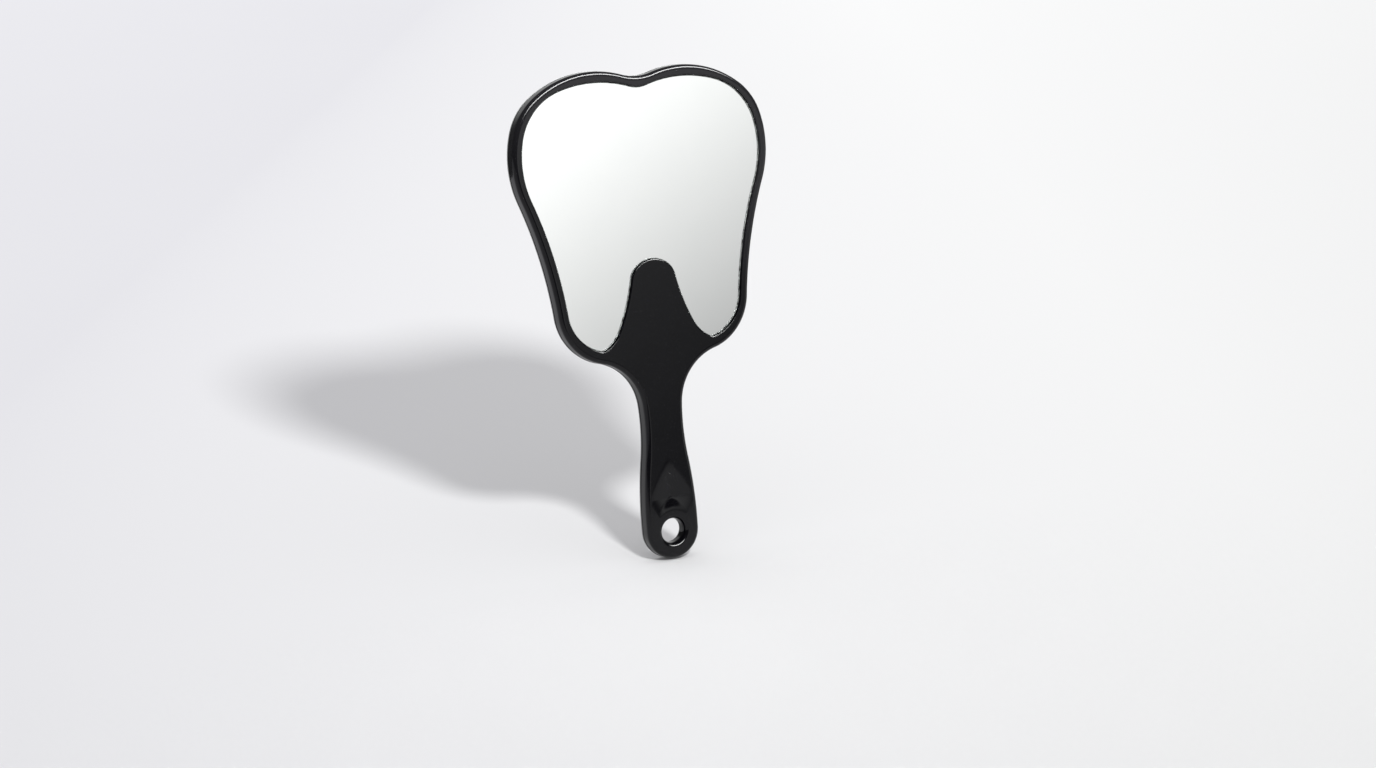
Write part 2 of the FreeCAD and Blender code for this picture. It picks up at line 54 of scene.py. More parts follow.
OUTLINE = [
    ("notch between the lobes", 28.5, 17.5),
    ("top of a lobe", -56.6, 54.2),
    ("corner of a lobe", -32.9, 36.3),
    ("cheek", -55.3, 38.1),
    ("waist", 233.0, 15.4),
    ("root", -29.8, 69.7),
    ("shoulder", 29.0, 70.9),
    ("neck", 128.0, 13.2),
    ("flare of the grip", None, 10.0),
    ("nose", -15.3, None),
]
POCKET = [
    ("notch between the lobes", 15.4, 18.0),
    ("top of a lobe", -66.3, 36.0),
    ("corner of a lobe", -32.5, 57.7),
    ("cheek", -52.2, 35.8),
    ("waist", 225.6, 15.7),
    ("root", -23.9, 67.4),
    ("lowest corner", -4.5, 44.0),
    ("foot of the tongue", -20.3, 36.2),
    ("side of the tongue", -105.7, 15.1),
    ("corner of the tongue", 10.3, 37.6),
    ("tip of the tongue", None, None),
]
POCKET_TOP = 250.0
LONGEST_STEP = 1.2        # longest straight step along an arc
SHARPEST_STEP = 4.0       # most degrees turned in one step
CLOSEST_POINTS = 1e-5     # points nearer than this count as one

# ---- sizes in millimetres ----

FRONT_ROUNDING = 2.4      # rounding of the front edge
SHELL_STEP = 0.18         # the front shell is this much smaller than the cover at the seam
BACK_ROUNDING = 1.0       # rounding of the back edge, seen from the back
DRAFT = 0.06              # side wall's lean from the seam to the front edge
COVER_TAPER = 0.25        # lean of the cover's wall from the seam to its rounding
COVER_WALL = 1.6          # depth of that wall
SEAM_WIDTH = 0.22         # half the width of the groove at the seam
SEAM_INSET = 0.55         # depth of that groove
FLAT_MARGIN = 0.25        # flat band that ends every rounding on a face
POCKET_ROUNDING = 0.5     # rounding of the lip round the glass
POCKET_DRAFT = 0.08       # lean of the pocket's wall
TAPE_GAP = 0.9            # silver, paint and tape behind the glass
GLASS_GAP = 0.3           # play between the glass and the pocket's wall
GLASS_BEVEL = 0.35        # depth of the ground bevel
GROUND_WIDTH = 0.4        # ground edge, seen from the front
SILVER_SUNK = 0.75        # how deep the silver behind the glass looks below the ground edge

HOLE_Z = 15.0
HOLE_RADIUS = 6.4
HOLE_FRONT_ROUNDING = 2.4
HOLE_FRONT_RISE = 3.8     # the rounding of the mouth is deeper than it is wide
HOLE_BACK_ROUNDING = 2.0
HOLE_BACK_RISE = 2.6
HOLE_POINTS = 120         # points round the hole
RING_RADIUS = 11.2        # flat ring round the hole
STEP_WIDTH = 1.3          # smooth step from the ring down into the scoop, at its narrowest
RAMP_LENGTH = 6.6         # the step is this much wider straight above the hole
RAMP_ANGLE = 40.0         # degrees from there to where it is narrowest
SCOOP_Z = 33.0
SCOOP_DEPTH = 1.5
SCOOP_HALF_LENGTH = 23.0
SCOOP_HALF_WIDTH = 13.2
SCOOP_POWER = 0.55        # below 1 the scoop is pointed at its top and sides
SCOOP_MIDDLE = 1.0        # the crease along the middle of a pointed scoop is smoothed over this distance
BOWL_POWER = 1.6          # above 1 the scoop runs out gently into the face
POLAR_RADIUS = 12.9       # the face is meshed in rings out to this distance from the hole
POLAR_STEP = 0.4
GRID = 0.65               # spacing of the mesh in the scoop
GRID_BESIDE = 3.0         # the mesh goes this far past the sides of the scoop
GRID_ABOVE = 1.0          # and this far past its top
WELD_DISTANCE = 1e-7      # metres within which two vertices become one
SHARP_EDGE = 38           # degrees between two faces from which their edge is drawn sharp
ROUND_STEPS = 9           # steps in a rounding
ROUND_ANGLES = [math.pi / 2 * k / ROUND_STEPS for k in range(ROUND_STEPS + 1)]


# ---- arc chains ---------------------------------------------------------------------------------

def solved(chain):
    """Radii and headings of the arcs of a chain that ends at X = 0, heading along -X.

    That settles the last turn and the radius that isn't given. The arc without a radius bulges."""
    heading = [0.0]
    for name, radius, turn in chain[:-1]:
        side = 1 if radius is not None and radius > 0 else -1
        heading.append(heading[-1] + side * math.radians(turn))
    heading.append(-math.pi)
    radii = [radius for name, radius, turn in chain]
    reach = [math.sin(b) - math.sin(a) for a, b in zip(heading, heading[1:])]
    known = sum(radius * x for radius, x in zip(radii, reach) if radius is not None)
    return [-known / x if radius is None else radius for radius, x in zip(radii, reach)], heading


def half_chain(chain, start_z, inset):
    """Points (x, z) of the right half of a chain moved inwards, from its start to its end on X = 0."""
    radii, heading = solved(chain)
    point = np.array([0.0, start_z - inset])
    points = [point]
    for radius, start, end in zip(radii, heading, heading[1:]):
        turn = abs(end - start)
        steps = math.ceil(max(abs(radius) * turn / LONGEST_STEP, math.degrees(turn) / SHARPEST_STEP))
        moved = radius + inset
        centre = point + moved * normal(start)
        for k in range(1, steps + 1):
            points.append(centre - moved * normal(start + (end - start) * k / steps))
        point = points[-1]
    return np.array(points)


def normal(heading):
    """Unit vector to the left of a heading."""
    return np.array([-math.sin(heading), math.cos(heading)])


def loop_of(chain, start_z, inset):
    """The closed outline: right half from top to bottom, then the left half back up."""
    right = half_chain(chain, start_z, inset)
    right[0, 0] = right[-1, 0] = 0.0
    left = right[-2:0:-1] * [-1, 1]
    return np.vstack([right, left])


def outline_height():
    """Height of the outline, from the arcs alone."""
    radii, heading = solved(OUTLINE)
    fall = [r * (math.cos(a) - math.cos(b)) for r, a, b in zip(radii, heading, heading[1:])]
    return -sum(fall)


OUTLINE_TOP = outline_height()


def shell_loop(inset):
    return loop_of(OUTLINE, OUTLINE_TOP, inset)


def pocket_loop(inset):
    return loop_of(POCKET, POCKET_TOP, inset)


def circle(radius):
    angle = np.linspace(0, 2 * math.pi, HOLE_POINTS, endpoint=False)
    return np.column_stack([radius * np.sin(angle), HOLE_Z + radius * np.cos(angle)])


def inside(points, loop):
    """True for each point that lies in a closed loop."""
    ahead = np.roll(loop, -1, axis=0)
    x, z = points[:, 0, None], points[:, 1, None]
    crosses = (loop[:, 1] > z) != (ahead[:, 1] > z)
    rise = np.where(ahead[:, 1] == loop[:, 1], 1.0, ahead[:, 1] - loop[:, 1])
    at = loop[:, 0] + (z - loop[:, 1]) * (ahead[:, 0] - loop[:, 0]) / rise
    return (crosses & (x < at)).sum(axis=1) % 2 == 1


# ---- mesh building ------------------------------------------------------------------------------

def ring(mesh, loop, depth):
    """One vertex per point of a loop, at a depth: a number, or a function of (x, z), in millimetres."""
    depths = depth(loop) if callable(depth) else np.full(len(loop), depth)
    return [mesh.verts.new((x * MM, y * MM, z * MM)) for (x, z), y in zip(loop, depths)]


def bridge(mesh, first, second, material=0):
    """A band of quads between two rings of the same length."""
    count = len(first)
    for i in range(count):
        j = (i + 1) % count
        mesh.faces.new((first[i], first[j], second[j], second[i])).material_index = material


def skin(mesh, make_loop, profile, material=0):
    """Rings through a profile of (inset, depth) pairs, joined by bands; returns all the rings."""
    rings = [ring(mesh, make_loop(inset), depth) for inset, depth in profile]
    for first, second in zip(rings, rings[1:]):
        bridge(mesh, first, second, material)
    return rings


def fill(mesh, outer, holes=(), extra=None, depth=0.0, material=0):
    """Triangles between an outer ring and its holes, through extra points that lie at a depth."""
    rings = [outer, *holes]
    corners = [v for each in rings for v in each]
    flat = [(v.co.x / MM, v.co.z / MM) for v in corners]
    edges = []
    start = 0
    for each in rings:
        edges += [(start + i, start + (i + 1) % len(each)) for i in range(len(each))]
        start += len(each)
    if extra is not None:
        flat += [tuple(point) for point in extra]
    given = [Vector(point) for point in flat]
    found, _, triangles, sources, _, _ = delaunay_2d_cdt(given, edges, [], 0, CLOSEST_POINTS, True)
    spots = np.array([tuple(point) for point in found])
    middles = spots[np.array(triangles)].mean(axis=1)
    kept = inside(middles, np.array(flat[:len(outer)]))
    start = len(outer)
    for hole in holes:
        kept &= ~inside(middles, np.array(flat[start:start + len(hole)]))
        start += len(hole)
    made = {}
    for triangle, keep in zip(triangles, kept):
        if not keep:
            continue
        for index in triangle:
            if index not in made:
                made[index] = existing(sources[index], corners)
                if made[index] is None:
                    made[index] = ring(mesh, spots[index:index + 1], depth)[0]
        mesh.faces.new([made[index] for index in triangle]).material_index = material


def existing(sources, corners):
    """The corner that a triangulated point stands for, or None for a point between the rings."""
    for source in sources:
        if source < len(corners):
            return corners[source]
    return None


def quarter(inset, depth, radius, towards, rise=None):
    """Profile of a rounding that starts on a wall and ends flat on a face; towards is -1 front, 1 back.

    rise is its extent in depth, where that isn't the radius."""
    rise = radius if rise is None else rise
    return [(inset + radius * (1 - math.cos(a)), depth + towards * rise * math.sin(a))
            for a in ROUND_ANGLES]


def mouth(radius, depth, rounding, towards, rise=None):
    """Profile of a rounded mouth, flat on the face and then down into a wall.

    towards is 1 from the front inwards, -1 from the back. rise is its extent in depth, where that isn't
    the radius."""
    rise = rounding if rise is None else rise
    return [(radius + rounding * (1 - math.sin(a)), depth + towards * rise * (1 - math.cos(a)))
            for a in ROUND_ANGLES]


def finish_piece(mesh, name, materials, node):
    """Turn a mesh under construction into a piece that stands for a CAD node."""
    bmesh.ops.remove_doubles(mesh, verts=mesh.verts, dist=WELD_DISTANCE)
    bmesh.ops.recalc_face_normals(mesh, faces=mesh.faces)
    for face in mesh.faces:
        face.smooth = True
    data = bpy.data.meshes.new(name)
    mesh.to_mesh(data)
    mesh.free()
    data.set_sharp_from_angle(angle=math.radians(SHARP_EDGE))
    for material in materials:
        data.materials.append(material)
    piece = bpy.data.objects.new(name, data)
    bpy.context.scene.collection.objects.link(piece)
    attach(piece, "root")
    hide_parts(node)
    return piece


# ---- depths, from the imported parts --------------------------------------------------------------

FRONT_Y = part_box("front_shell")[0].y / MM
SEAM_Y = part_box("front_shell")[1].y / MM
BACK_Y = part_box("back_cover")[1].y / MM
GLASS_FRONT_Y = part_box("mirror_glass")[0].y / MM
GLASS_BACK_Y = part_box("mirror_glass")[1].y / MM
POCKET_FLOOR_Y = GLASS_BACK_Y + TAPE_GAP


def smooth_step(value, low, high):
    t = np.clip((value - low) / (high - low), 0, 1)
    return t * t * (3 - 2 * t)


def face_depth(points):
    """Depth of the front face: flat, with the thumb scoop and the flat ring that is left round the hole."""
    x, z = points[:, 0], points[:, 1]
    across = (x ** 2 + SCOOP_MIDDLE ** 2) / SCOOP_HALF_WIDTH ** 2
    along = ((z - SCOOP_Z) ** 2 + SCOOP_MIDDLE ** 2) / SCOOP_HALF_LENGTH ** 2
    bowl = SCOOP_DEPTH * np.clip(1 - across ** SCOOP_POWER - along ** SCOOP_POWER, 0, 1) ** BOWL_POWER
    from_hole = np.hypot(x, z - HOLE_Z)
    off_centre = np.degrees(np.abs(np.arctan2(x, z - HOLE_Z)))
    width = STEP_WIDTH + RAMP_LENGTH * np.clip(1 - off_centre / RAMP_ANGLE, 0, 1)
    return FRONT_Y + bowl * smooth_step(from_hole, RING_RADIUS, RING_RADIUS + width)


# ---- pieces -------------------------------------------------------------------------------------

def scoop_points():
    """Points of the face round the hole, in rings, and over the scoop, in a staggered grid."""
    edge = shell_loop(FRONT_ROUNDING + SHELL_STEP + DRAFT + 2 * FLAT_MARGIN)
    first = HOLE_RADIUS + HOLE_FRONT_ROUNDING + FLAT_MARGIN + POLAR_STEP
    radii = np.arange(first, POLAR_RADIUS, POLAR_STEP)
    polar = np.vstack([circle(r) for r in radii])
    rows = []
    row_step = GRID * math.sqrt(3) / 2
    side = SCOOP_HALF_WIDTH + GRID_BESIDE
    top = SCOOP_Z + SCOOP_HALF_LENGTH + GRID_ABOVE
    for k, z in enumerate(np.arange(GRID, top, row_step)):
        x = np.arange(-side, side, GRID) + (k % 2) * GRID / 2
        rows.append(np.column_stack([x, np.full(len(x), z)]))
    grid = np.vstack(rows)
    grid = grid[np.hypot(grid[:, 0], grid[:, 1] - HOLE_Z) > POLAR_RADIUS + POLAR_STEP / 2]
    points = np.vstack([polar, grid])
    return points[inside(points, edge)]


def build_front_shell(materials):
    """Front shell: side wall, rounded front edge, face with scoop and hole, and pocket for the glass."""
    mesh = bmesh.new()
    edge = quarter(SHELL_STEP + DRAFT, FRONT_Y + FRONT_ROUNDING, FRONT_ROUNDING, -1)
    wall = [(SHELL_STEP + SEAM_INSET, SEAM_Y), (SHELL_STEP, SEAM_Y - SEAM_WIDTH),
            (SHELL_STEP + DRAFT / 2, (SEAM_Y + FRONT_Y) / 2)]
    flat_end = (edge[-1][0] + FLAT_MARGIN, FRONT_Y)
    sides = skin(mesh, shell_loop, wall + edge + [flat_end])

    lip = [(-spread, depth) for spread, depth in mouth(0.0, FRONT_Y, POCKET_ROUNDING, 1)]
    start = (-POCKET_ROUNDING - FLAT_MARGIN, FRONT_Y)
    pocket = skin(mesh, pocket_loop, [start] + lip + [(POCKET_DRAFT, POCKET_FLOOR_Y)])

    edge_of_mouth = (HOLE_RADIUS + HOLE_FRONT_ROUNDING + FLAT_MARGIN, FRONT_Y)
    bore = mouth(HOLE_RADIUS, FRONT_Y, HOLE_FRONT_ROUNDING, 1, HOLE_FRONT_RISE)
    hole = skin(mesh, circle, [edge_of_mouth] + bore + [(HOLE_RADIUS, SEAM_Y)])

    fill(mesh, sides[-1], [pocket[0], hole[0]], scoop_points(), face_depth)
    fill(mesh, pocket[-1], depth=POCKET_FLOOR_Y)
    fill(mesh, sides[0], [hole[-1]], depth=SEAM_Y)
    return finish_piece(mesh, "front_shell_moulding", materials, "front_shell")


def build_back_cover(materials):
    """Back cover: shallow wall, rounded back edge and plain back with the mouth of the hole."""
    mesh = bmesh.new()
    edge = quarter(COVER_TAPER, SEAM_Y + SEAM_WIDTH + COVER_WALL, BACK_ROUNDING, 1,
                   BACK_Y - SEAM_Y - SEAM_WIDTH - COVER_WALL)
    wall = [(SEAM_INSET, SEAM_Y), (0.0, SEAM_Y + SEAM_WIDTH)]
    flat_end = (edge[-1][0] + FLAT_MARGIN, BACK_Y)
    sides = skin(mesh, shell_loop, wall + edge + [flat_end])
    edge_of_mouth = (HOLE_RADIUS + HOLE_BACK_ROUNDING + FLAT_MARGIN, BACK_Y)
    bore = mouth(HOLE_RADIUS, BACK_Y, HOLE_BACK_ROUNDING, -1, HOLE_BACK_RISE)
    hole = skin(mesh, circle, [edge_of_mouth] + bore + [(HOLE_RADIUS, SEAM_Y)])
    fill(mesh, sides[-1], [hole[0]], depth=BACK_Y)
    fill(mesh, sides[0], [hole[-1]], depth=SEAM_Y)
    return finish_piece(mesh, "back_cover_moulding", materials, "back_cover")


def build_glass(materials):
    """Glass pane: the silver, which looks sunk below the surface, and the rough ground edge round it."""
    mesh = bmesh.new()
    silver_y = GLASS_FRONT_Y + SILVER_SUNK
    ground = [
        (GLASS_GAP + GROUND_WIDTH / 2, GLASS_BACK_Y),
        (GLASS_GAP, GLASS_BACK_Y - GLASS_BEVEL),
        (GLASS_GAP, GLASS_FRONT_Y + GLASS_BEVEL),
        (GLASS_GAP + GROUND_WIDTH * 0.4, GLASS_FRONT_Y + GLASS_BEVEL * 0.3),
        (GLASS_GAP + GROUND_WIDTH * 0.8, GLASS_FRONT_Y + GLASS_BEVEL * 0.6),
        (GLASS_GAP + GROUND_WIDTH, silver_y),
    ]
    rings = skin(mesh, pocket_loop, ground, material=1)
    face = ring(mesh, pocket_loop(GLASS_GAP + GROUND_WIDTH + FLAT_MARGIN), silver_y)
    bridge(mesh, rings[-1], face, material=0)
    fill(mesh, face, depth=silver_y, material=0)
    fill(mesh, rings[0], depth=GLASS_BACK_Y, material=1)
    return finish_piece(mesh, "mirror_pane", materials, "mirror_glass")


# ---- materials ----------------------------------------------------------------------------------

class Nodes:
    """Short way to build a node tree."""

    def __init__(self, tree):
        self.tree = tree
        self.tree.nodes.clear()

    def add(self, kind, inputs=None, **settings):
        """A node with its settings; inputs maps a socket to a value or to another node's socket."""
        node = self.tree.nodes.new(kind)
        for name, value in settings.items():
            setattr(node, name, value)
        for key, value in (inputs or {}).items():
            if isinstance(value, bpy.types.NodeSocket):
                self.tree.links.new(value, node.inputs[key])
            else:
                node.inputs[key].default_value = value
        return node

    def noise(self, vector, scale, detail=3.0, roughness=0.5, distortion=0.0):
        """The grey value of a noise texture at so many features a metre."""
        return self.add("ShaderNodeTexNoise", {
            "Vector": vector, "Scale": scale, "Detail": detail, "Roughness": roughness,
            "Distortion": distortion}).outputs["Fac"]

    def spread(self, value, low, high, to_low, to_high):
        """A value mapped from one range to another, clamped."""
        return self.add("ShaderNodeMapRange", {
            "Value": value, "From Min": low, "From Max": high, "To Min": to_low,
            "To Max": to_high}).outputs["Result"]

    def math(self, operation, first, second=0.0, clamp=False):
        return self.add("ShaderNodeMath", {0: first, 1: second}, operation=operation,
                        use_clamp=clamp).outputs[0]

    def blend(self, factor, first, second):
        """A colour between two others. Sockets 6 and 7 of the node are the colours, and 2 is their mix."""
        node = self.add("ShaderNodeMix", data_type="RGBA")
        for socket, value in zip((node.inputs["Factor"], node.inputs[6], node.inputs[7]),
                                 (factor, first, second)):
            if isinstance(value, bpy.types.NodeSocket):
                self.tree.links.new(value, socket)
            else:
                socket.default_value = value
        return node.outputs[2]


def new_material(name):
    """A material with an empty node tree and its object coordinates."""
    material = bpy.data.materials.new(name)
    material.use_nodes = True
    nodes = Nodes(material.node_tree)
    place = nodes.add("ShaderNodeTexCoord").outputs["Object"]
    return material, nodes, place


def surface(nodes, colour, roughness, bump_height=None, bump_strength=0.1, bump_distance=0.00005, **fixed):
    """A Principled shader; fixed are the inputs that are the same all over."""
    inputs = {"Base Color": colour, "Roughness": roughness}
    if bump_height is not None:
        inputs["Normal"] = nodes.add("ShaderNodeBump", {
            "Height": bump_height, "Strength": bump_strength, "Distance": bump_distance}).outputs["Normal"]
    inputs.update({name.replace("_", " "): value for name, value in fixed.items()})
    shader = nodes.add("ShaderNodeBsdfPrincipled", inputs)
    nodes.add("ShaderNodeOutputMaterial", {"Surface": shader.outputs["BSDF"]})


SHELL_POLISH = 0.07       # least roughness of the two shells
COVER_POLISH = 0.10
PAINTED_LIGHT_SLANT = 0.45       # painted light: the rim is drawn lighter towards the top, and this much as strongly to the right
PAINTED_LIGHT_FROM = 0.162       # heights on the centre line, in metres, where that begins and is complete
PAINTED_LIGHT_TO = 0.232


def black_plastic(name, polish):
    """Glossy black moulded plastic: slight waves, fine grain, dull patches from handling, painted glints in
    light dots, and painted light that makes the rim lighter and greyer towards the top right."""
    material, nodes, place = new_material(name)
    patches = nodes.noise(place, 38, detail=4, distortion=0.6)
    waves = nodes.noise(place, 170, detail=2)
    grain = nodes.noise(place, 3200, detail=2, roughness=0.6)
    # painted glints: light dots in the colour stand for the sparkle of the grain
    painted_glints = nodes.spread(nodes.noise(place, 2300, detail=1), 0.66, 0.76, 0, 1)
    parts = nodes.add("ShaderNodeSeparateXYZ", {0: place}).outputs
    # painted light: the colour is made lighter and greyer towards the top right, where the light falls on
    # the rim
    towards_top_right = nodes.math("ADD", parts["Z"], nodes.math("MULTIPLY", parts["X"], PAINTED_LIGHT_SLANT))
    painted_light_mask = nodes.spread(towards_top_right, PAINTED_LIGHT_FROM, PAINTED_LIGHT_TO, 0, 1)
    deep = nodes.blend(patches, (0.0008, 0.0008, 0.0014, 1), (0.0022, 0.0021, 0.0032, 1))
    # the lighter grey of the painted light, with the plastic's own fine grain in it
    dull = nodes.blend(grain, (0.008, 0.008, 0.009, 1), (0.030, 0.029, 0.033, 1))
    plain = nodes.blend(nodes.math("MULTIPLY", painted_light_mask, 0.8), deep, dull)
    colour = nodes.blend(nodes.math("MULTIPLY", painted_glints, 0.15), plain, (0.09, 0.09, 0.095, 1))
    handled = nodes.spread(patches, 0.35, 0.7, polish, polish + 0.04)
    roughness = nodes.math("ADD", handled, nodes.math("MULTIPLY", grain, 0.04))
    height = nodes.math("ADD", nodes.math("MULTIPLY", waves, 0.6), nodes.math("MULTIPLY", grain, 0.12))
    surface(nodes, colour, roughness, height, 0.08, 0.00003, Specular_IOR_Level=0.26)
    return material


def silvered_glass():
    """Mirror seen through its glass: bright and even, with a trace of haze."""
    material, nodes, place = new_material("silvered_glass")
    haze = nodes.noise(place, 55, detail=5, distortion=0.4)
    colour = nodes.blend(haze, (0.955, 0.965, 0.958, 1), (0.985, 0.988, 0.984, 1))
    roughness = nodes.spread(haze, 0.3, 0.75, 0.008, 0.03)
    surface(nodes, colour, roughness, Metallic=1.0)
    return material


def ground_glass():
    """Ground edge of the glass: grey-green, rough, with bright chips and dark spots."""
    material, nodes, place = new_material("ground_glass")
    chips = nodes.noise(place, 900, detail=3, roughness=0.6)
    dark_spots = nodes.noise(place, 420, detail=3, roughness=0.6)
    body = nodes.blend(nodes.spread(chips, 0.38, 0.66, 0, 1), (0.10, 0.105, 0.10, 1), (0.34, 0.36, 0.35, 1))
    colour = nodes.blend(nodes.spread(dark_spots, 0.38, 0.50, 0.9, 0), body, (0.02, 0.02, 0.022, 1))
    roughness = nodes.spread(chips, 0.3, 0.7, 0.75, 0.45)
    surface(nodes, colour, roughness, chips, 0.4, 0.0002, Specular_IOR_Level=0.08)
    return material


def backing_paint():
    """Grey protective paint on the silver, rolled on."""
    material, nodes, place = new_material("backing_paint")
    rolled = nodes.noise(place, 900, detail=4)
    clouds = nodes.noise(place, 40, detail=3)
    colour = nodes.blend(clouds, (0.36, 0.37, 0.38, 1), (0.46, 0.47, 0.48, 1))
    surface(nodes, colour, nodes.spread(rolled, 0.3, 0.7, 0.5, 0.7), rolled, 0.3, 0.00005)
    return material


def foam():
    """White foam of the double-sided tape, with fine open cells."""
    material, nodes, place = new_material("foam")
    cells = nodes.add("ShaderNodeTexVoronoi", {"Vector": place, "Scale": 2600.0}).outputs["Distance"]
    clouds = nodes.noise(place, 120, detail=3)
    colour = nodes.blend(clouds, (0.78, 0.78, 0.75, 1), (0.88, 0.88, 0.86, 1))
    surface(nodes, colour, nodes.spread(cells, 0, 0.6, 0.95, 0.8), cells, 0.4, 0.0001)
    return material


def paint_node(name, material):
    """Give a CAD node a material in each of its slots."""
    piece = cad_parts[name]
    for slot in piece.material_slots:
        slot.material = material
    if not piece.material_slots:
        piece.data.materials.append(material)


# ---- stage --------------------------------------------------------------------------------------

# The mirror leans back, so in its own frame the floor rises towards the back.
FLOOR_NORMAL = Vector((0.0134, -0.1430, 0.9896)).normalized()
FLOOR_REACH = 20.0
FLOOR_DARKEST_X = -0.45   # painted shade: the floor gets lighter from here to there, quickly at first
FLOOR_LIGHTEST_X = 0.35
FLOOR_SHADE_POWER = 0.6
TABLE_EDGE = 0.08         # right edge of the table: this far right of the camera, and slanting away from it
TABLE_SLANT = 0.33
TABLE_END = 0.45          # far edge of the table: this far behind the mirror
VIEW_AZIMUTH = -26.912    # degrees round from the front, and above the mirror's own horizontal
VIEW_ELEVATION = 8.553
VIEW_ROLL = -4.495
VIEW_DISTANCE = 1.17832
VIEW_TARGET = Vector((0.01486, -0.0045, 0.09215))
LENS = 58.28              # focal length and width of the sensor, in millimetres
SENSOR = 36.0
KEY_PLACE = Vector((-0.022, -0.60, 0.50))
KEY_TARGET = Vector((0.0, 0.0, 0.17))
KEY_SIZE = (0.10, 0.10)
KEY_POWER = 8.7
KEY_SPREAD = 1.2          # the key is spread so that far parts of the floor get as much of it as near ones
ROOM_LIGHT = 0.85
DOME_RADIUS = 9.0
DARK_ROOM = 0.09

# Patches of the dome, in degrees round from the camera's side and up from level. Each edge of a patch
# is two numbers, between which it fades.
BACKDROP = 0.85           # behind the mirror, the same on its left and right
BACKDROP_SIDES = ((133, 142), (190, 200))
BACKDROP_ENDS = ((-50, -40), (26, 31))
SIDE_WALL = 1.1           # far to the right
SIDE_WALL_SIDES = ((60, 67), (100, 115))
SIDE_WALL_ENDS = ((-70, -60), (5, 10))
CARD_LEVEL = 2.753        # wall right of the camera: brightness, and its change for each degree
CARD_PER_DEGREE_ROUND = -0.0415
CARD_PER_DEGREE_UP = 0.0708
CARD_DARKEST = 0.12
CARD_LIGHTEST = 1.4
CARD_SIDES = ((26, 38), (60, 67))
CARD_ENDS = ((-70, -60), (9, 15))
STRIP_ACROSS = Vector((-0.79, 0.61, 0.0))     # strip light overhead: the way across it,
STRIP_PLACE = -0.62       # how far along that way it lies, as a sine,
STRIP_REACH = (0.07, 0.14)    # and how far to each side of there it begins to fade and ends
STRIP_ENDS = (0.54, 0.72)     # sines of the heights between which its ends fade
STRIP_LIGHT = 48.0


def stage_axes():
    """Rotation of the stage: its Z is the floor's normal, and its Y is the level way the camera looks."""
    look = view_axes()[2]
    up = FLOOR_NORMAL
    along = (look - up * look.dot(up)).normalized()
    return Matrix((along.cross(up), along, up)).transposed()


def view_axes():
    """Right, up and forward of the camera."""
    azimuth, elevation, roll = (math.radians(a) for a in (VIEW_AZIMUTH, VIEW_ELEVATION, VIEW_ROLL))
    back = Vector((math.sin(azimuth) * math.cos(elevation), -math.cos(azimuth) * math.cos(elevation),
                   math.sin(elevation)))
    level = Vector((math.cos(azimuth), math.sin(azimuth), 0))
    above = back.cross(level)
    right = level * math.cos(roll) + above * math.sin(roll)
    up = above * math.cos(roll) - level * math.sin(roll)
    return right, up, -back


def add_camera():
    """The camera, at the photograph's angle."""
    right, up, forward = view_axes()
    data = bpy.data.cameras.new("camera")
    data.lens = LENS
    data.sensor_width = SENSOR
    data.clip_end = 100.0
    camera = bpy.data.objects.new("camera", data)
    rotation = Matrix((right, up, -forward)).transposed()
    camera.matrix_world = Matrix.Translation(VIEW_TARGET - forward * VIEW_DISTANCE) @ rotation.to_4x4()
    bpy.context.scene.collection.objects.link(camera)
    bpy.context.scene.camera = camera


def floor_material():
    """Pale paper with painted shade, darker and bluer to the left, and a trace of clouds and fibres."""
    material, nodes, place = new_material("floor_paper")
    clouds = nodes.noise(place, 1.3, detail=2)
    fibres = nodes.noise(place, 700, detail=3)
    across = nodes.add("ShaderNodeSeparateXYZ", {0: place}).outputs["X"]
    # painted shade: the floor is darker and bluer towards the left, where less light falls
    painted_shade_sideways = nodes.spread(across, FLOOR_DARKEST_X, FLOOR_LIGHTEST_X, 0, 1)
    uneven = nodes.math("ADD", painted_shade_sideways, nodes.math("MULTIPLY", clouds, 0.03))
    shade = nodes.math("POWER", uneven, FLOOR_SHADE_POWER)
    colour = nodes.blend(shade, (0.574, 0.574, 0.596, 1), (0.708, 0.712, 0.706, 1))
    surface(nodes, colour, nodes.spread(fibres, 0.3, 0.7, 0.85, 0.95), fibres, 0.05, 0.00005,
            Specular_IOR_Level=0.0)
    return material


def add_floor(axes):
    """A plain pale floor under the lowest point of the mirror, in two parts that meet without a gap.

    Reflections see only the table: the part round the mirror, up to an edge on the right and one behind."""
    lowest = min(v.co.dot(FLOOR_NORMAL) for name in ("front_shell", "back_cover")
                 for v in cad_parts[name].data.vertices)
    material = floor_material()
    camera = axes.transposed() @ bpy.context.scene.camera.matrix_world.translation
    reach = FLOOR_REACH
    near = (camera.x + TABLE_EDGE - TABLE_SLANT * (reach + camera.y), -reach, 0)
    far = (camera.x + TABLE_EDGE + TABLE_SLANT * (TABLE_END - camera.y), TABLE_END, 0)
    table = [(-reach, -reach, 0), near, far, (-reach, TABLE_END, 0)]
    beyond = [near, (reach, -reach, 0), (reach, reach, 0), (-reach, reach, 0), (-reach, TABLE_END, 0), far]
    for name, corners in (("floor", table), ("floor_beyond", beyond)):
        data = bpy.data.meshes.new(name)
        data.from_pydata(corners, [], [range(len(corners))])
        data.materials.append(material)
        part = bpy.data.objects.new(name, data)
        part.matrix_world = Matrix.Translation(FLOOR_NORMAL * lowest) @ axes.to_4x4()
        part.visible_glossy = corners is table
        bpy.context.scene.collection.objects.link(part)


def add_room():
    """Even light from all round, and the dome of cards that only reflections see."""
    world = bpy.data.worlds.new("room")
    bpy.context.scene.world = world
    world.use_nodes = True
    nodes = Nodes(world.node_tree)
    background = nodes.add("ShaderNodeBackground", {"Color": (0.985, 0.98, 1.0, 1), "Strength": ROOM_LIGHT})
    nodes.add("ShaderNodeOutputWorld", {"Surface": background.outputs["Background"]})


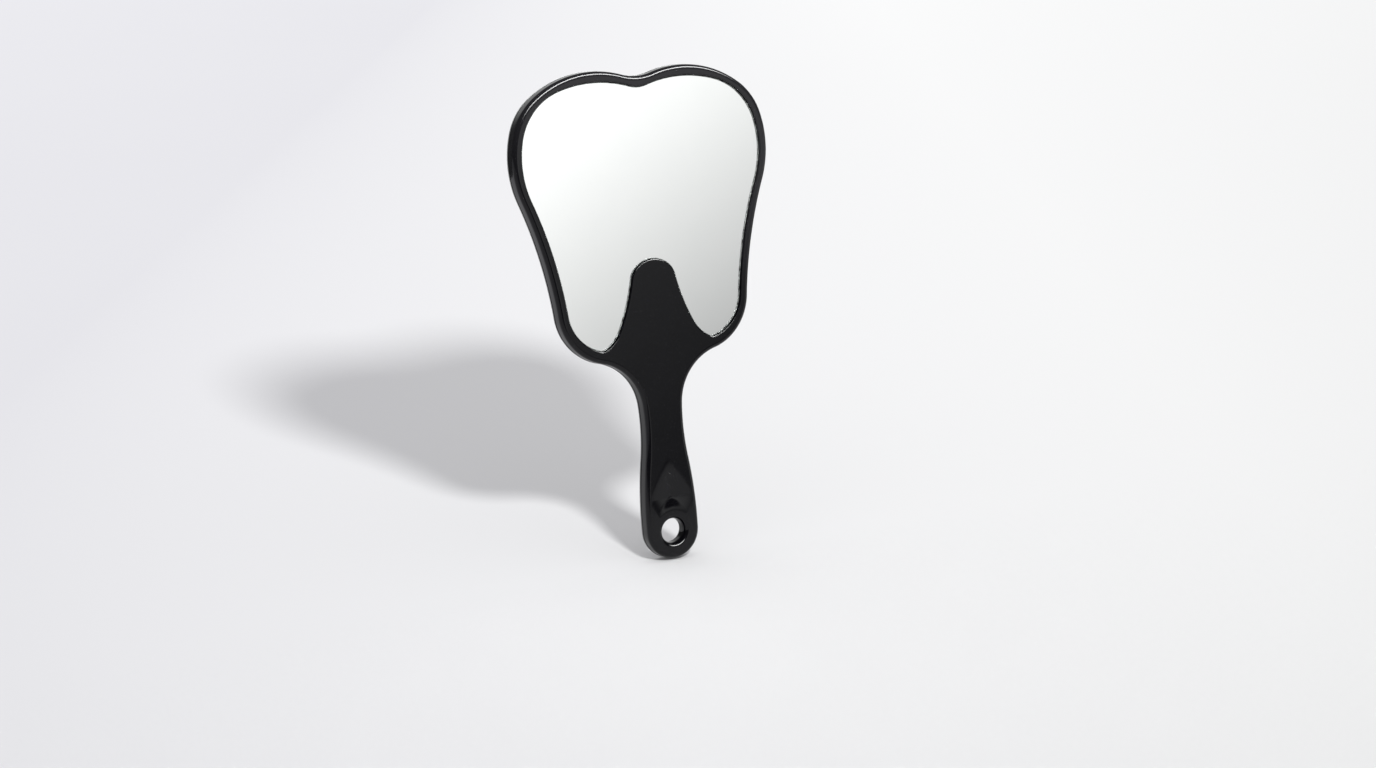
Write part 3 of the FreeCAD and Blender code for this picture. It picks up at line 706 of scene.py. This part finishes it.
def patch(nodes, round_way, height, sides, ends):
    """A soft-edged patch of the dome; sides and ends hold the degrees between which each edge fades."""
    left, right = sides
    low, high = ends
    across = nodes.math("MULTIPLY", nodes.spread(round_way, *left, 0, 1),
                        nodes.spread(round_way, *right, 1, 0))
    upright = nodes.math("MULTIPLY", nodes.spread(height, *low, 0, 1), nodes.spread(height, *high, 1, 0))
    return nodes.math("MULTIPLY", across, upright)


def between(nodes, first, second, factor):
    """A value between two others."""
    rest = nodes.math("MULTIPLY", first, nodes.math("SUBTRACT", 1.0, factor))
    return nodes.math("ADD", rest, nodes.math("MULTIPLY", second, factor))


def add_dome(axes):
    """What the glass and the gloss of the plastic reflect: a dark room with a pale backdrop, a wall to the
    right of the camera that darkens downwards and to the right, a side wall, and a strip light overhead."""
    mesh = bmesh.new()
    bmesh.ops.create_icosphere(mesh, subdivisions=5, radius=DOME_RADIUS)
    data = bpy.data.meshes.new("dome")
    mesh.to_mesh(data)
    mesh.free()
    material = bpy.data.materials.new("dome_cards")
    material.use_nodes = True
    nodes = Nodes(material.node_tree)
    place = nodes.add("ShaderNodeTexCoord").outputs["Object"]
    way = nodes.add("ShaderNodeVectorMath", {0: place}, operation="NORMALIZE").outputs["Vector"]
    parts = nodes.add("ShaderNodeSeparateXYZ", {0: way}).outputs
    degrees = 180 / math.pi
    towards = nodes.math("MULTIPLY", parts["Y"], -1)
    round_way = nodes.math("MULTIPLY", nodes.math("ARCTAN2", parts["X"], towards), degrees)
    height = nodes.math("MULTIPLY", nodes.math("ARCSINE", parts["Z"]), degrees)

    away = nodes.math("ABSOLUTE", round_way)
    behind = patch(nodes, away, height, BACKDROP_SIDES, BACKDROP_ENDS)
    base = between(nodes, DARK_ROOM, BACKDROP, behind)
    beside = patch(nodes, round_way, height, SIDE_WALL_SIDES, SIDE_WALL_ENDS)
    sides = between(nodes, base, SIDE_WALL, beside)

    slope = nodes.math("ADD", nodes.math("MULTIPLY", round_way, CARD_PER_DEGREE_ROUND),
                       nodes.math("MULTIPLY", height, CARD_PER_DEGREE_UP))
    card = nodes.math("MAXIMUM", nodes.math("ADD", slope, CARD_LEVEL), CARD_DARKEST)
    card = nodes.math("MINIMUM", card, CARD_LIGHTEST)
    in_card = patch(nodes, round_way, height, CARD_SIDES, CARD_ENDS)
    walls = between(nodes, sides, card, in_card)

    across = nodes.add("ShaderNodeVectorMath", {0: way, 1: STRIP_ACROSS}, operation="DOT_PRODUCT")
    off_strip = nodes.math("ABSOLUTE", nodes.math("SUBTRACT", across.outputs["Value"], STRIP_PLACE))
    in_strip = nodes.math("MULTIPLY", nodes.spread(off_strip, *STRIP_REACH, 1, 0),
                          nodes.spread(parts["Z"], *STRIP_ENDS, 0, 1))
    light = between(nodes, walls, STRIP_LIGHT, in_strip)
    glow = nodes.add("ShaderNodeEmission", {"Color": (0.99, 1.0, 0.995, 1), "Strength": light})
    nodes.add("ShaderNodeOutputMaterial", {"Surface": glow.outputs["Emission"]})
    data.materials.append(material)
    dome = bpy.data.objects.new("dome", data)
    dome.matrix_world = axes.to_4x4()
    dome.visible_camera = False
    dome.visible_diffuse = False
    dome.visible_transmission = False
    dome.visible_shadow = False
    bpy.context.scene.collection.objects.link(dome)


def add_key():
    """A small soft light high in front, which throws the shadow to the left and back."""
    data = bpy.data.lights.new("key", "AREA")
    data.shape = "ELLIPSE"
    data.size, data.size_y = KEY_SIZE
    data.energy = KEY_POWER
    data.use_nodes = True
    nodes = Nodes(data.node_tree)
    even = nodes.add("ShaderNodeLightFalloff", {"Strength": 1.0}).outputs["Constant"]
    distance = nodes.add("ShaderNodeLightPath").outputs["Ray Length"]
    wide = nodes.math("MULTIPLY", even, nodes.math("POWER", distance, KEY_SPREAD))
    glow = nodes.add("ShaderNodeEmission", {"Strength": wide})
    nodes.add("ShaderNodeOutputLight", {"Surface": glow.outputs["Emission"]})
    key = bpy.data.objects.new("key", data)
    aim = (KEY_TARGET - KEY_PLACE).to_track_quat("-Z", "Y")
    key.matrix_world = Matrix.Translation(KEY_PLACE) @ aim.to_matrix().to_4x4()
    key.visible_glossy = False
    bpy.context.scene.collection.objects.link(key)


bpy.context.scene.view_settings.view_transform = "Standard"
build_front_shell([black_plastic("shell_plastic_black", SHELL_POLISH)])
build_back_cover([black_plastic("cover_plastic_black", COVER_POLISH)])
build_glass([silvered_glass(), ground_glass()])
paint_node("silver_backing", backing_paint())
paint_node("mounting_tape", foam())

add_camera()
axes = stage_axes()
add_floor(axes)
add_room()
add_dome(axes)
add_key()

bpy.context.view_layer.update()
